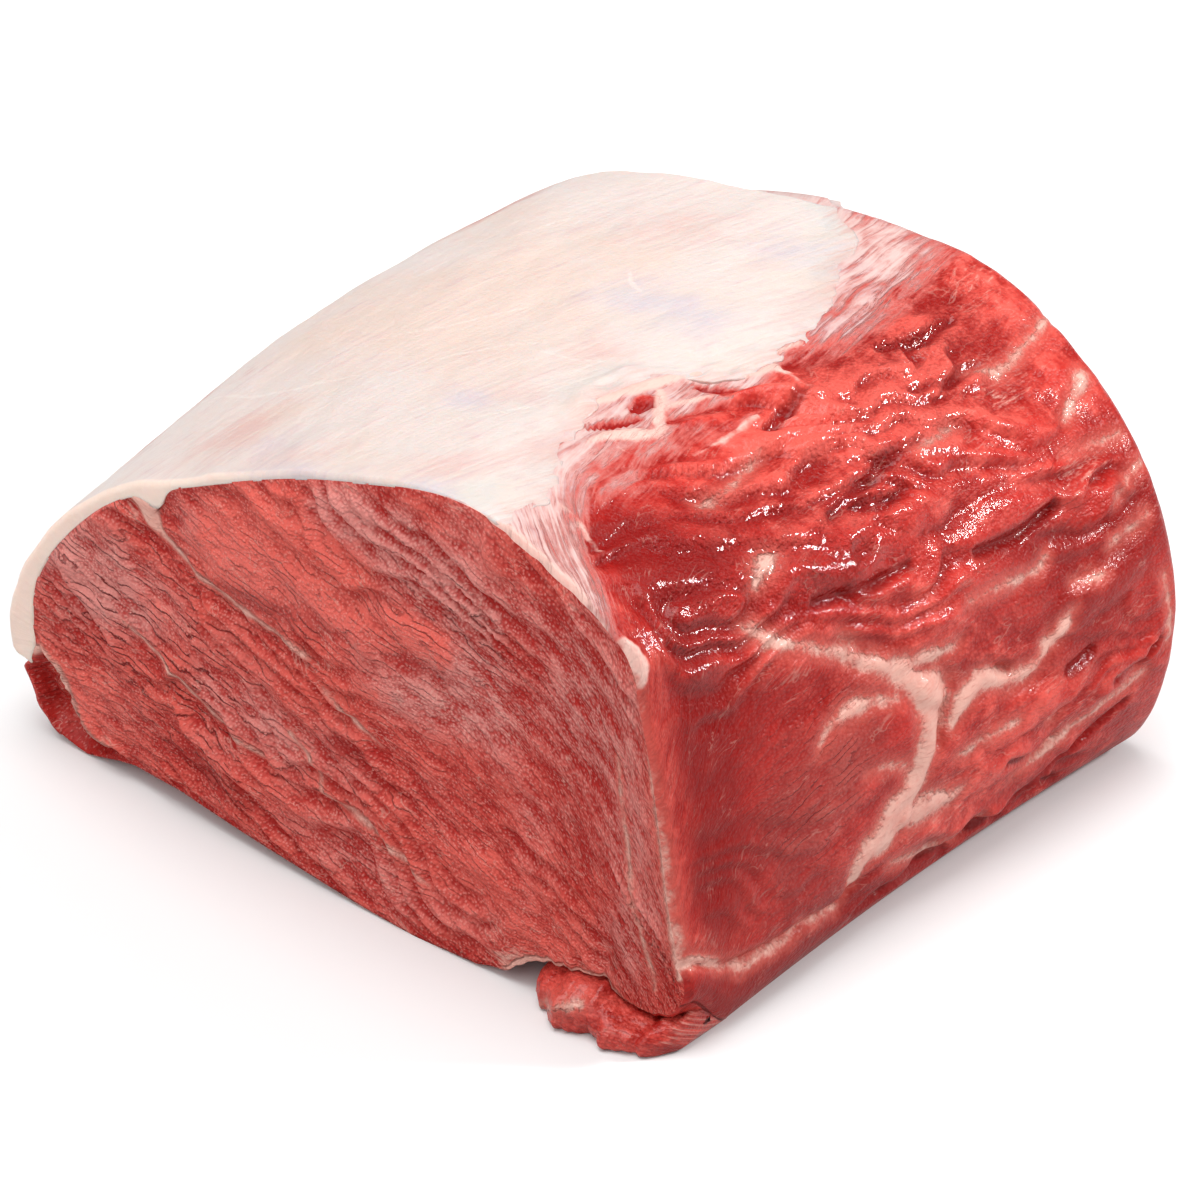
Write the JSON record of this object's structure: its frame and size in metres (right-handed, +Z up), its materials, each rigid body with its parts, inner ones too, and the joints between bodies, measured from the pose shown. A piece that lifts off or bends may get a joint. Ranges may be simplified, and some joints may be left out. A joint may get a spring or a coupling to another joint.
{
  "type": "raw beef roast",
  "caption": "Boneless raw beef roast: a squared block of lean muscle, cut flat across the grain at both ends, with a fat cap over the top and left side.",
  "frame": {"origin": "on the table under the middle of the block, half way between the two cut faces", "axes": "+X along the cut faces towards the roast's red side, +Y from the front cut face to the back one, +Z up"},
  "size_m": [0.1952, 0.155, 0.0995],
  "materials": {
    "red_meat": "moist raw lean beef",
    "fat": "soft cream beef fat"
  },
  "bodies": {
    "root": {"lean": "red_meat", "fat_cap": "fat"}
  },
  "joints": []
}
